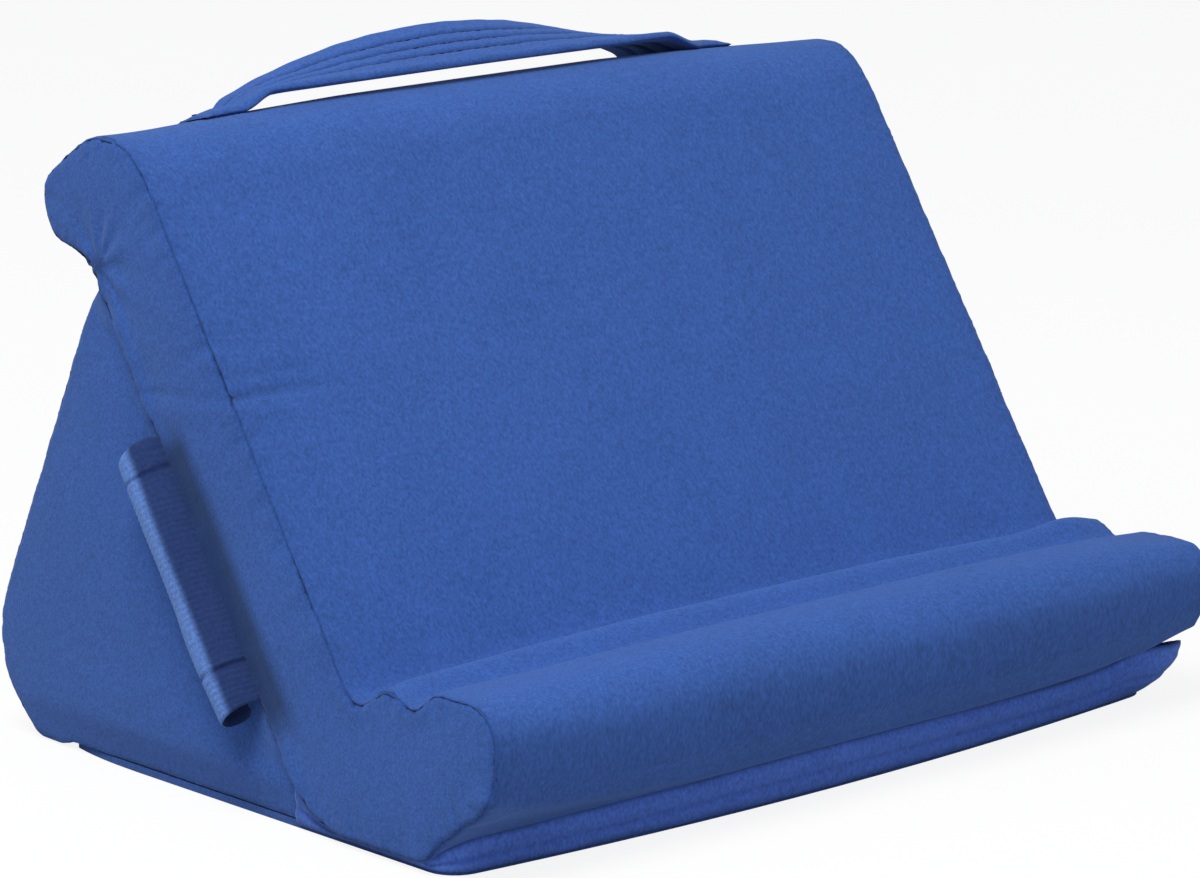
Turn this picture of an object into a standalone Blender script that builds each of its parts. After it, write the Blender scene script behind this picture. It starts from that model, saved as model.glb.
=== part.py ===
"""Tablet cushion stand: a leaning face pad with a padded ledge, joined to a wedge base.

Metres, +Z up. X runs along the width, Y to the back. The origin lies on the flat
underside, in the middle of the width. A side outline is a list of (y, z, radius)
corners, counter-clockwise as seen with Y to the right and Z up.
"""

import math
from collections import namedtuple

import bmesh
import bpy
from mathutils import Vector

MM = 0.001

# Cloth and clearances
GAP = 0.3 * MM
CLOTH = 2 * MM

# Face pad: the leaning slab that a tablet lies against
PAD_WIDTH = 278 * MM
LEAN = math.radians(33.3)
TROUGH_DEPTH = -53.6 * MM
TROUGH_HEIGHT = 40.7 * MM
TROUGH_RADIUS = 3 * MM
FACE_LENGTH = 183.5 * MM
SLAB_THICK = 36.5 * MM
SLAB_FOOT_RADIUS = 30 * MM

# Top roll, which hangs over behind the slab
TOP_OVERHANG = 14 * MM
TOP_ROLL_TALL = 19.5 * MM
TOP_NOTCH_DROP = 14.5 * MM
TOP_FRONT_RADIUS = 24 * MM
TOP_REAR_RADIUS = 12 * MM
OVERHANG_RADIUS = 7 * MM
NOTCH_RADIUS = 2 * MM

# Ridge that holds the tablet's edge, and the groove in front of it
RIDGE_REACH = 10.9 * MM
RIDGE_RISE = 16.1 * MM
RIDGE_RADIUS = 7 * MM
GROOVE_REACH = 22.4 * MM
GROOVE_RISE = 3.6 * MM
GROOVE_RADIUS = 2.5 * MM

# Front roll
ROLL_REACH = 30.9 * MM
ROLL_LENGTH = 30 * MM
ROLL_RISE = 12.9 * MM
ROLL_BACK_RADIUS = 9 * MM
ROLL_TOP_RADIUS = 17 * MM
ROLL_TUCK = 1.5 * MM
ROLL_LOW_HEIGHT = 24.3 * MM
ROLL_LOW_RADIUS = 14 * MM
SEAM_TUCK = 8.5 * MM
SEAM_HEIGHT = 14.3 * MM
SEAM_RADIUS = 8 * MM
UNDER_TUCK = 18.5 * MM
UNDER_RADIUS = 12 * MM

# Wedge base
WEDGE_SET_IN = 4 * MM
WEDGE_WIDTH = PAD_WIDTH - 2 * WEDGE_SET_IN
BACK_LEAN = math.radians(25.6)
HEEL_RADIUS = 31 * MM
TIP_RADIUS = 4.5 * MM
FOAM_TIP_RADIUS = 8 * MM
TOE_ANGLE = math.radians(-58)
FOAM_TOE_ANGLE = math.radians(-50)

# How much the stuffing draws in towards each end, side by side round the outline
PAD_PINCH = {
    "ridge_back": 4 * MM,
    "ridge_front": 2.5 * MM,
    "roll_back": 1 * MM,
    "roll_top": 2.8 * MM,
    "roll_front": 3 * MM,
    "roll_low": 5 * MM,
    "under_slant": 4.5 * MM,
    "underside": 1.8 * MM,
    "slab_back": 1 * MM,
    "overhang": 1 * MM,
    "top_back": 2.5 * MM,
    "top": 4.5 * MM,
    "face": 1.5 * MM,
}
BACK_PINCH = 3 * MM
SECTIONS = (-1, -0.97, -0.91, -0.81, -0.64, -0.35, 0.35, 0.64, 0.81, 0.91, 0.97, 1)

# Domed end panels: how far each ring stands out, and how far in it lies
PAD_DOME = ((0, 0), (1.2 * MM, 0.3 * MM), (2.2 * MM, 2.4 * MM), (2.8 * MM, 6 * MM))
SIDE_DOME = ((0, 0), (1.2 * MM, 0.3 * MM), (1.9 * MM, 1.8 * MM), (2.4 * MM, 4 * MM))
SIDE_DOME_SHARE = {"floor": 0.3, "back": 1, "slab": 1, "arc": 0.1, "toe": 0.2}

# Bottom panel and front strip
FLOOR_SET_IN = 1.5 * MM
FLOOR_WIDTH = PAD_WIDTH - 2 * FLOOR_SET_IN
FLOOR_FRONT = -97.3 * MM
FLOOR_BOW = 8.2 * MM
FLOOR_CORNER = 17 * MM
FLOOR_REAR_CORNER = 3 * MM
BOW_STEPS = 14
STRIP_FLARE = 0.45
STRIP_EDGE_INSET = 0.4 * MM
STRIP_SIDE_END = -80 * MM
STRIP_LOWEST = 1.2 * MM
STRIP_CREASE = 0.8 * MM

# Stylus sleeve, sewn in the crease behind the slab on the left
SLEEVE_LENGTH = 79 * MM
SLEEVE_START = 15 * MM
SLEEVE_BORE = 4.8 * MM
SLEEVE_WALL = 1.4 * MM
SLEEVE_WAIST = 0.8 * MM
SLEEVE_SIDES = 20
SLEEVE_RINGS = 9

# Carrying handle, sewn to the top roll
HANDLE_SPAN = 204 * MM
HANDLE_TAB = 13 * MM
HANDLE_WIDTH = 28 * MM
HANDLE_THICK = 2.6 * MM
HANDLE_SET_BACK = 27 * MM
HANDLE_RISE = 11 * MM
HANDLE_FORWARD = 6 * MM
HANDLE_TILT = math.radians(-16)
HANDLE_FULLNESS = 0.7
HANDLE_GROOVES = (-0.21, 0, 0.21)
HANDLE_GROOVE_DEPTH = 0.9 * MM
HANDLE_GROOVE_HALF = 1.1 * MM
HANDLE_STEPS = 30

ARC_STEP = math.radians(15)
SMALLEST_RADIUS = 0.6 * MM
EDGE_SHARE = 0.49
SHARP_ANGLE = math.radians(40)
SMALL_TURN = math.radians(20)

PLUSH = (0.045, 0.127, 0.402)
PLUSH_SHADE = (0.032, 0.085, 0.300)
FOAM = (0.82, 0.81, 0.76)

Corner = namedtuple("Corner", "y z radius steps")


def clear_scene():
    for obj in list(bpy.data.objects):
        bpy.data.objects.remove(obj, do_unlink=True)


def material(name, colour, roughness):
    made = bpy.data.materials.new(name)
    made.use_nodes = True
    shader = made.node_tree.nodes["Principled BSDF"]
    shader.inputs["Base Color"].default_value = (*colour, 1)
    shader.inputs["Roughness"].default_value = roughness
    shader.inputs["Metallic"].default_value = 0
    return made


def add_piece(name, points, faces, finish):
    """One closed mesh object, faces out, shaded smooth except at its sharp edges."""
    mesh = bpy.data.meshes.new(name)
    mesh.from_pydata(points, [], faces)
    shape = bmesh.new()
    shape.from_mesh(mesh)
    bmesh.ops.recalc_face_normals(shape, faces=shape.faces)
    shape.to_mesh(mesh)
    shape.free()
    mesh.shade_smooth()
    mesh.set_sharp_from_angle(angle=SHARP_ANGLE)
    mesh.materials.append(finish)
    obj = bpy.data.objects.new(name, mesh)
    bpy.context.collection.objects.link(obj)
    return obj


def outline(corners):
    """Corners with the number of steps that each round corner is drawn in."""
    count = len(corners)
    made = []
    for i, (y, z, radius) in enumerate(corners):
        coming = Vector((y, z)) - Vector(corners[i - 1][:2])
        going = Vector(corners[(i + 1) % count][:2]) - Vector((y, z))
        steps = max(1, round(coming.angle(going) / ARC_STEP)) if radius else 0
        made.append(Corner(y, z, radius, steps))
    return made


def along_face(up, out):
    """Depth and height of a point measured up the slab's face and out of it."""
    depth = TROUGH_DEPTH + up * math.sin(LEAN) - out * math.cos(LEAN)
    height = TROUGH_HEIGHT + up * math.cos(LEAN) + out * math.sin(LEAN)
    return depth, height


def slab_back_at(height, out):
    """Depth of the plane at this distance from the slab's face, at a height."""
    up = (height - TROUGH_HEIGHT - out * math.sin(LEAN)) / math.cos(LEAN)
    return along_face(up, out)[0]


def pad_corners():
    """Side outline of the face pad at the middle of its width."""
    under = CLOTH + GAP
    ridge = (TROUGH_DEPTH - RIDGE_REACH, TROUGH_HEIGHT + RIDGE_RISE)
    groove = (TROUGH_DEPTH - GROOVE_REACH, TROUGH_HEIGHT + GROOVE_RISE)
    roll_top = TROUGH_HEIGHT + ROLL_RISE
    roll_back = TROUGH_DEPTH - ROLL_REACH
    roll_front = roll_back - ROLL_LENGTH
    roll_low = roll_front + ROLL_TUCK
    overhang = -SLAB_THICK - TOP_OVERHANG
    notch = FACE_LENGTH - TOP_ROLL_TALL - TOP_NOTCH_DROP
    return outline([
        (TROUGH_DEPTH, TROUGH_HEIGHT, TROUGH_RADIUS),
        (*ridge, RIDGE_RADIUS),
        (*groove, GROOVE_RADIUS),
        (roll_back, roll_top, ROLL_BACK_RADIUS),
        (roll_front, roll_top, ROLL_TOP_RADIUS),
        (roll_low, ROLL_LOW_HEIGHT, ROLL_LOW_RADIUS),
        (roll_low + SEAM_TUCK, SEAM_HEIGHT, SEAM_RADIUS),
        (roll_low + SEAM_TUCK + UNDER_TUCK, under, UNDER_RADIUS),
        (slab_back_at(under, -SLAB_THICK), under, SLAB_FOOT_RADIUS),
        (*along_face(notch, -SLAB_THICK), NOTCH_RADIUS),
        (*along_face(FACE_LENGTH - TOP_ROLL_TALL, overhang), OVERHANG_RADIUS),
        (*along_face(FACE_LENGTH, overhang), TOP_REAR_RADIUS),
        (*along_face(FACE_LENGTH, 0), TOP_FRONT_RADIUS),
    ])


def wedge_corners(toe_angle, tip_radius=TIP_RADIUS):
    """Side outline of the wedge, with its toe cut off where the pad's foot curve has toe_angle."""
    radius = SLAB_FOOT_RADIUS + GAP
    centre_height = CLOTH + GAP + SLAB_FOOT_RADIUS
    centre_depth = slab_back_at(centre_height, -SLAB_THICK) - SLAB_FOOT_RADIUS / math.cos(LEAN)
    tip_up = FACE_LENGTH - TOP_ROLL_TALL - TOP_NOTCH_DROP
    tip = along_face(tip_up, -SLAB_THICK - GAP)
    heel = tip[0] + tip[1] * math.tan(BACK_LEAN)
    steps = 5
    foot = []
    for i in range(steps + 1):
        angle = -LEAN + (toe_angle + LEAN) * i / steps
        point = (centre_depth + radius * math.cos(angle), centre_height + radius * math.sin(angle))
        foot.append((*point, 0))
    return outline([(foot[-1][0], 0, 0), (heel, 0, HEEL_RADIUS), (*tip, tip_radius), *foot])


def wedge_depths(toe_angle, floor=0, back=0, slab=0, arc=0, toe=0):
    """One inset for each side of the wedge's outline."""
    arcs = len(wedge_corners(toe_angle)) - 4
    return [floor, back, slab, *[arc] * arcs, toe]


def inset(corners, depths):
    """The outline with each side moved into the material by its own depth."""
    count = len(corners)
    if not isinstance(depths, (list, tuple)):
        depths = [depths] * count
    moved = []
    for i, (y, z, radius, steps) in enumerate(corners):
        here = Vector((y, z))
        coming = (here - Vector(corners[i - 1][:2])).normalized()
        going = (Vector(corners[(i + 1) % count][:2]) - here).normalized()
        cross = coming.x * going.y - coming.y * going.x
        turn = coming.angle(going)
        in_1 = Vector((-coming.y, coming.x))
        in_2 = Vector((-going.y, going.x))
        depth_1 = depths[i - 1]
        depth_2 = depths[i]
        if turn < SMALL_TURN:
            way = (in_1 + in_2).normalized()
            place = here + way * (depth_1 + depth_2) / 2 / math.cos(turn / 2)
        else:
            along = (depth_2 - depth_1 * in_1.dot(in_2)) / in_2.dot(coming)
            place = here + in_1 * depth_1 + coming * along
        if radius:
            change = (depth_1 + depth_2) / 2
            radius = max(SMALLEST_RADIUS, radius - change if cross > 0 else radius + change)
        moved.append(Corner(place.x, place.y, radius, steps))
    return moved


def rounded(corners):
    """The outline's points, one list for each corner."""
    count = len(corners)
    groups = []
    for i, (y, z, radius, steps) in enumerate(corners):
        here = Vector((y, z))
        back = Vector(corners[i - 1][:2]) - here
        ahead = Vector(corners[(i + 1) % count][:2]) - here
        turn = math.pi - back.angle(ahead)
        if not radius:
            groups.append([here])
            continue
        reach = radius * math.tan(turn / 2)
        reach = min(reach, EDGE_SHARE * back.length, EDGE_SHARE * ahead.length)
        back.normalize()
        ahead.normalize()
        fillet = reach / math.tan(turn / 2)
        centre = here + (back + ahead).normalized() * fillet / math.cos(turn / 2)
        spoke = here + back * reach - centre
        left = back.y * ahead.x - back.x * ahead.y > 0
        arc = []
        for step in range(steps + 1):
            angle = turn * step / steps * (1 if left else -1)
            cos, sin = math.cos(angle), math.sin(angle)
            arc.append(centre + Vector((spoke.x * cos - spoke.y * sin, spoke.x * sin + spoke.y * cos)))
        groups.append(arc)
    return groups


def ring(corners, x):
    """The rounded outline as points at one place along the width."""
    return [(x, p.x, p.y) for group in rounded(corners) for p in group]


def pinch(share):
    """How much of the end pinch applies at a share of the half width."""
    return abs(share) ** 3


def skin_faces(first, second, count, closed=True):
    """Quads between two rings that start at these point numbers."""
    last = count if closed else count - 1
    return [
        (first + i, first + (i + 1) % count, second + (i + 1) % count, second + i)
        for i in range(last)
    ]


def loft(name, rings, finish):
    """A solid through rings of as many points, with flat ends."""
    count = len(rings[0])
    points = [p for one in rings for p in one]
    faces = []
    for i in range(len(rings) - 1):
        faces += skin_faces(i * count, (i + 1) * count, count)
    faces.append(tuple(range(count)))
    faces.append(tuple(range(len(points) - count, len(points))))
    return add_piece(name, points, faces, finish)


def sleeve(name, outer, inner, finish):
    """A wall between outer and inner rings, open at both ends."""
    count = len(outer[0])
    points = [p for one in outer + inner for p in one]
    half = len(outer) * count
    faces = []
    for i in range(len(outer) - 1):
        faces += skin_faces(i * count, (i + 1) * count, count)
        faces += skin_faces(half + i * count, half + (i + 1) * count, count)
    end = (len(outer) - 1) * count
    faces += skin_faces(0, half, count)
    faces += skin_faces(end, half + end, count)
    return add_piece(name, points, faces, finish)


def pad_section(share, extra):
    """The face pad's outline at a share of its half width, inset by extra as well."""
    drawn = [depth * pinch(share) for depth in PAD_PINCH.values()]
    return inset(inset(pad_corners(), drawn), extra)


def wedge_section(share, floor, back):
    """The wedge foam's outline at a share of its half width."""
    depths = wedge_depths(FOAM_TOE_ANGLE, floor=floor, back=back + BACK_PINCH * pinch(share))
    return inset(wedge_corners(FOAM_TOE_ANGLE, FOAM_TIP_RADIUS), depths)


def make_pad_foam(finish):
    rings = [ring(pad_section(s, CLOTH + GAP), s * PAD_WIDTH / 2) for s in SECTIONS]
    loft("face_pad_foam", rings, finish)


def make_pad_cover(finish):
    outer = [ring(pad_section(s, 0), s * PAD_WIDTH / 2) for s in SECTIONS]
    inner = [ring(pad_section(s, CLOTH), s * PAD_WIDTH / 2) for s in SECTIONS]
    sleeve("face_pad_cover", outer, inner, finish)


def make_pad_end(name, side, finish):
    rings = []
    for out, inward in PAD_DOME:
        x = side * (PAD_WIDTH / 2 + GAP + out)
        rings.append(ring(inset(pad_section(1, 0), inward), x))
    loft(name, rings, finish)


def make_wedge_foam(finish):
    skin = CLOTH + GAP
    rings = [ring(wedge_section(s, skin, skin), s * WEDGE_WIDTH / 2) for s in SECTIONS]
    loft("wedge_foam", rings, finish)


def make_wedge_side(name, side, finish):
    edge = wedge_depths(TOE_ANGLE, floor=CLOTH + GAP, back=BACK_PINCH)
    side_edge = inset(wedge_corners(TOE_ANGLE), edge)
    rings = []
    for out, inward in SIDE_DOME:
        shares = {key: share * inward for key, share in SIDE_DOME_SHARE.items()}
        x = side * (WEDGE_WIDTH / 2 + GAP + out)
        rings.append(ring(inset(side_edge, wedge_depths(TOE_ANGLE, **shares)), x))
    loft(name, rings, finish)


def back_strip(share, extra):
    """The back panel's points from the floor, round the heel and up to the top of the tip."""
    depths = wedge_depths(TOE_ANGLE, floor=extra, back=extra + BACK_PINCH * pinch(share), slab=extra)
    groups = rounded(inset(wedge_corners(TOE_ANGLE), depths))
    tip = groups[2]
    return groups[1] + tip[:len(tip) // 2 + 1]


def make_back_cover(finish):
    rings = []
    for share in SECTIONS:
        strip = back_strip(share, 0) + back_strip(share, CLOTH)[::-1]
        rings.append([(share * WEDGE_WIDTH / 2, p.x, p.y) for p in strip])
    loft("wedge_back_cover", rings, finish)


def floor_outline():
    """Plan of the bottom panel, from its rear left corner round by the front."""
    half = FLOOR_WIDTH / 2
    heels = [(s * WEDGE_WIDTH / 2, back_strip(s, 0)[0].x - GAP, 0) for s in reversed(SECTIONS)]
    rear = heels[0][1]
    corners = [(-half, rear, FLOOR_REAR_CORNER), (-half, FLOOR_FRONT + FLOOR_BOW, FLOOR_CORNER)]
    straight = half - FLOOR_CORNER
    for i in range(BOW_STEPS + 1):
        x = straight * (2 * i / BOW_STEPS - 1)
        corners.append((x, FLOOR_FRONT + FLOOR_BOW * (x / half) ** 2, 0))
    corners += [(half, FLOOR_FRONT + FLOOR_BOW, FLOOR_CORNER), (half, rear, FLOOR_REAR_CORNER)]
    return outline(corners + heels)


def make_bottom_panel(finish):
    plan = [p for group in rounded(floor_outline()) for p in group]
    rings = [[(p.x, p.y, height) for p in plan] for height in (0, CLOTH)]
    loft("bottom_panel", rings, finish)


def pad_underside(x, y):
    """Height of the pad's underside above a place on the floor."""
    corners = pad_section(min(1, abs(x) / (PAD_WIDTH / 2)), 0)
    seam, under = Vector(corners[6][:2]), Vector(corners[7][:2])
    slope = (under.y - seam.y) / (under.x - seam.x)
    return max(under.y, seam.y + slope * (y - seam.x))


def strip_path():
    """Places along the bottom panel's front edge, each with its outward direction."""
    plan = [p for group in rounded(inset(floor_outline(), STRIP_EDGE_INSET)) for p in group]
    path = []
    for i, here in enumerate(plan):
        if here.y > STRIP_SIDE_END:
            continue
        along = plan[(i + 1) % len(plan)] - plan[i - 1]
        path.append((here, Vector((along.y, -along.x)).normalized()))
    return path


def make_front_strip(finish):
    """A strip of cloth from the floor's edge up to the pad's lower seam, creased halfway."""
    foot = CLOTH + GAP
    rings = []
    for here, outward in strip_path():
        top = foot
        for _ in range(12):
            place = here + outward * STRIP_FLARE * (top - foot)
            top = pad_underside(place.x, place.y) - GAP
        tall = top - foot
        if tall < STRIP_LOWEST:
            continue
        outer = []
        for share in (0, 0.3, 0.5, 0.75, 1):
            swell = STRIP_CREASE * (0.5 - abs(share * 2 % 1 - 0.5)) if share not in (0, 0.5, 1) else 0
            place = here + outward * (STRIP_FLARE * share * tall + swell)
            outer.append((place.x, place.y, foot + share * tall))
        inner = []
        for x, y, z in reversed(outer):
            place = Vector((x, y)) - outward * CLOTH
            drop = max(0, z - pad_underside(place.x, place.y) + GAP)
            inner.append((place.x, place.y, max(foot + (z - foot) * 0.2, z - drop)))
        rings.append(outer + inner)
    loft("front_strip", rings, finish)


def make_stylus_sleeve(finish):
    """An open tube along the slab's back edge, outside the left side panel."""
    middle = SLEEVE_BORE + SLEEVE_WALL
    dome = SIDE_DOME[-1][0]
    axis_x = -(WEDGE_WIDTH / 2 + GAP + dome + GAP + middle)
    axis_out = -(SLAB_THICK + GAP + middle)
    outer, inner = [], []
    for i in range(SLEEVE_RINGS):
        share = i / (SLEEVE_RINGS - 1)
        narrow = SLEEVE_WAIST * (2 * share - 1) ** 2
        up = SLEEVE_START + SLEEVE_LENGTH * share
        for rings, radius in ((outer, middle - narrow), (inner, SLEEVE_BORE - narrow / 2)):
            one = []
            for k in range(SLEEVE_SIDES):
                angle = 2 * math.pi * k / SLEEVE_SIDES
                place = along_face(up, axis_out + radius * math.sin(angle))
                one.append((axis_x + radius * math.cos(angle), *place))
            rings.append(one)
    sleeve("stylus_sleeve", outer, inner, finish)


def handle_section():
    """The strap's cut end: distance across it towards the front, and height."""
    half = HANDLE_WIDTH / 2
    top = [(-half, -0.3 * HANDLE_THICK), (-half + 0.3 * HANDLE_THICK, 0)]
    for groove in HANDLE_GROOVES:
        middle = groove * HANDLE_WIDTH
        top += [
            (middle - HANDLE_GROOVE_HALF, 0),
            (middle, -HANDLE_GROOVE_DEPTH),
            (middle + HANDLE_GROOVE_HALF, 0),
        ]
    top += [(half - 0.3 * HANDLE_THICK, 0), (half, -0.3 * HANDLE_THICK)]
    low = -HANDLE_THICK
    under = [(share * half, low) for share in (0.9, 0.45, 0, -0.45, -0.9)]
    return top + [(half, 0.7 * low), *under, (-half, 0.7 * low)]


def make_carry_handle(finish):
    """A flat strap that lies on the top roll at both ends and arches between them."""
    arch = HANDLE_SPAN - 2 * HANDLE_TAB
    places = [-HANDLE_SPAN / 2]
    places += [-arch / 2 * math.cos(math.pi * i / HANDLE_STEPS) for i in range(HANDLE_STEPS + 1)]
    places.append(HANDLE_SPAN / 2)
    rings = []
    for x in places:
        share = min(1, max(0, x / arch + 0.5))
        bend = max(0, math.sin(math.pi * share)) ** HANDLE_FULLNESS
        tilt = LEAN + (HANDLE_TILT - LEAN) * bend
        sink = PAD_PINCH["top"] * pinch(x / (PAD_WIDTH / 2))
        depth, height = along_face(FACE_LENGTH - sink + GAP + HANDLE_THICK, -HANDLE_SET_BACK)
        depth -= HANDLE_FORWARD * bend
        height += HANDLE_RISE * bend
        rings.append([
            (
                x,
                depth - across * math.cos(tilt) + thick * math.sin(tilt),
                height + across * math.sin(tilt) + thick * math.cos(tilt),
            )
            for across, thick in handle_section()
        ])
    loft("carry_handle", rings, finish)


def main():
    clear_scene()
    plush = 0.9
    make_pad_foam(material("pad_foam", FOAM, 0.95))
    make_pad_cover(material("pad_cover_plush", PLUSH, plush))
    make_pad_end("face_pad_end_left", -1, material("pad_end_left_plush", PLUSH, plush))
    make_pad_end("face_pad_end_right", 1, material("pad_end_right_plush", PLUSH, plush))
    make_wedge_foam(material("wedge_foam", FOAM, 0.95))
    make_wedge_side("wedge_side_left", -1, material("wedge_side_left_plush", PLUSH, plush))
    make_wedge_side("wedge_side_right", 1, material("wedge_side_right_plush", PLUSH, plush))
    make_back_cover(material("wedge_back_plush", PLUSH, plush))
    make_bottom_panel(material("bottom_plush", PLUSH_SHADE, plush))
    make_front_strip(material("front_strip_plush", PLUSH, plush))
    make_stylus_sleeve(material("sleeve_plush", PLUSH_SHADE, plush))
    make_carry_handle(material("handle_plush", PLUSH, plush))


main()
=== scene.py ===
"""Tablet cushion stand: stuffed plush forms, seams, stitched strap and sleeve, in a plain studio.

Metres, +Z up. X runs along the width, Y to the back, and the floor is at zero height.
A side place is a pair of depth and height.
"""

import math

import bmesh
import bpy
import numpy as np
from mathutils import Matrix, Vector, noise
from mathutils.bvhtree import BVHTree
from mathutils.geometry import delaunay_2d_cdt
from mathutils.kdtree import KDTree


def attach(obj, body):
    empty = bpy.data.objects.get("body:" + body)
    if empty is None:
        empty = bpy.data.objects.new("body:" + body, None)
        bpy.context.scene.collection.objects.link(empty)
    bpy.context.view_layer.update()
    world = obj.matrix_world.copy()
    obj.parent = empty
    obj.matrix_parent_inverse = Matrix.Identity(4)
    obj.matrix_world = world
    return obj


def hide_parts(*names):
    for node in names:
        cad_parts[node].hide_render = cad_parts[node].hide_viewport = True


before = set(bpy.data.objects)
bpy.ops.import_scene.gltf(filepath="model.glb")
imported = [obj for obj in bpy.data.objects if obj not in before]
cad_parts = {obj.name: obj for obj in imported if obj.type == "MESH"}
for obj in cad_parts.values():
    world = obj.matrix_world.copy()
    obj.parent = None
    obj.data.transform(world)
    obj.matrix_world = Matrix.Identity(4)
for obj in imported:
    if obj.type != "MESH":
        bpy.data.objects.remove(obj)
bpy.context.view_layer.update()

MM = 0.001

# Face pad, seen from the side
LEAN = math.radians(33.3)
UP_FACE = Vector((math.sin(LEAN), math.cos(LEAN)))
OUT_OF_FACE = Vector((-math.cos(LEAN), math.sin(LEAN)))
TROUGH = Vector((-53.6, 40.7)) * MM
GROOVE = Vector((-76.0, 44.3)) * MM
FACE_LENGTH = 183.5 * MM
SLAB_THICK = 36.5 * MM
NOTCH_UP = 149.5 * MM
PAD_HALF = 142 * MM
PAD_FLOOR = 2.2 * MM
END_FULLNESS = {-1: 2.7 * MM, 1: 1.2 * MM}

# Where the pad's ends settle, in millimetres: a place, how far round it, and how far it moves
PAD_END = PAD_HALF / MM
TOP_LOBE = TROUGH / MM + UP_FACE * 178 - OUT_OF_FACE * 46
PAD_SETTLING = (
    ((-PAD_END, *TOP_LOBE), 13, (0, -1.5, 0.2)),
    ((-PAD_END, -63, 52), 8, (0, -0.8, -2.4)),
    ((-PAD_END, -78, 46), 8, (0, -3.4, -0.6)),
    ((-PAD_END, -92, 48), 10, (0, -2.2, -0.4)),
    ((PAD_END, -98, 12), 20, (0, 0, 3)),
    ((PAD_END, -90, 54), 22, (0, 0, -2)),
    ((PAD_END - 16, -63, 48), 13, (0, 0, 3)),
)

# The front roll's lower edge, lifted over the strip
LIP_DEPTH = -99 * MM
LIP_REACH = 9 * MM
LIP_TOP = 18 * MM
LIP_LIFT = 1.5 * MM

# Lower seam of the front roll, which climbs towards its ends
ROLL_SEAM_DEPTH = -104.5 * MM
ROLL_SEAM_HEIGHT = 13.6 * MM
ROLL_SEAM_CLIMB = {-1: 9 * MM, 1: 5.5 * MM}
ROLL_SEAM_POWER = 3.6

# Wedge
WEDGE_HALF = 140 * MM
COVER = 5.2 * MM
WEDGE_TIP = TROUGH + UP_FACE * 147 * MM + OUT_OF_FACE * -38 * MM
WEDGE_TOE = Vector((-21.0, 2.3)) * MM
WEDGE_TOE_REACH = 9 * MM
WEDGE_TOE_ROUND = 9 * MM
WEDGE_FOOT_HALF = 136.8 * MM
WEDGE_FOOT_RISE = 13 * MM
HEEL_DROP = 0.3 * MM
HEEL_TOP = 16 * MM
HEEL_FADE = 12 * MM
HEEL_FLOOR = 0.3 * MM
PANEL_REAR = 78 * MM

# Stuffing and cloth
NET = 4.5 * MM
PAD_SLICES = 57
WEDGE_SLICES = 47
FINEST = 2
SLACK = 1.3 * MM
PRESSURE = 4
SETTLING = 20
EVENING = 4
PAD_SWELL = 4.2 * MM
WEDGE_SWELL = 4.0 * MM

# How far the pad's cloth is held round each stop of its outline, and where it lies flat
PAD_HOLDS = (9 * MM, 7 * MM, 8 * MM, 6 * MM)
HELD_BEHIND = -34 * MM
HELD_BELOW = 4.5 * MM
FACE_HOLD = 0.25

# A solid is sliced just beside its own corners, and no nearer its ends than these
MIDDLE = 0.01 * MM
BESIDE = 0.013 * MM
PAD_SLICED_TO = 138.9 * MM
WEDGE_SLICED_TO = 134.9 * MM

# Seams
SEAM_DEPTH = 1.5 * MM
SEAM_HALF = 1.2 * MM
SEAM_LINE = 0.85 * MM
SEAM_REACH = 16 * MM
SEAM_DRAW = 3 * MM
GATHER_RISE = 0.42 * MM
GATHER_LENGTH = 4.6 * MM
FINE_GATHER_LENGTH = 2.3 * MM
GATHER_REACH = 5.5 * MM

# Crease pressed across the slab's left end, and the wrinkles at the notch
CREASE_UP = 91.2 * MM
CREASE_CLIMB = -0.51
CREASE_HALF = 1.6 * MM
CREASE_DEPTH = 0.7 * MM
CREASE_FROM = -96 * MM
CREASE_FULL = -126 * MM
CREASE_TURNS = -120 * MM
SECOND_CREASE = 6 * MM
WRINKLES_UP = 147 * MM
WRINKLES_OUT = -33 * MM
WRINKLES_REACH = 9 * MM

# Bottom panel: how far it is drawn in at its rear corners, its rear edge and its rounded rim
PANEL_CORNER = 0.024
PANEL_EDGE = 79.4 * MM
PANEL_CUTS = np.arange(40, 79, 4) * MM
PANEL_ROUNDING = 0.9 * MM

# Front strip, from the bottom panel's edge up to the roll's seam
STRIP_FLARE = 0.04
STRIP_END_FLARE = 0.8
STRIP_FLARES_FROM = 112 * MM
STRIP_FLARES_TO = 134 * MM
STRIP_FRONT = -85 * MM
STRIP_SIDE_END = -26 * MM
STRIP_FOOT = 1.0 * MM
STRIP_STAND_OFF = 0.5 * MM
STRIP_TALLEST = 16 * MM
STRIP_LEAST = 1.2 * MM
STRIP_TUCK = 0.6 * MM
STRIP_CLOTH = 1.2 * MM
STRIP_FOLD = 0.45
LOW_PUFF = 0.9 * MM
HIGH_PUFF = 0.7 * MM
STRIP_STEP = 0.8 * MM
STRIP_ROWS = 21

# Stylus sleeve
SLEEVE_X = -144.4 * MM
SLEEVE_OUT = -43 * MM
SLEEVE_FROM = 15 * MM
SLEEVE_TO = 94 * MM
SLEEVE_RADIUS = 6.5 * MM
SLEEVE_CLOTH = 1.1 * MM
SLEEVE_HEMS = (13 * MM, 71.5 * MM)
SLEEVE_SIDES = 64
SLEEVE_ROWS = 190
HEM_DEPTH = 0.45 * MM
RIM_DEPTH = 0.35 * MM
RIB_GAP = 1.7 * MM
RIB_RISE = 0.07 * MM
SEAM_ALLOWANCE = 2.4 * MM
MOUTH_SLANT = 2.2 * MM

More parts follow.
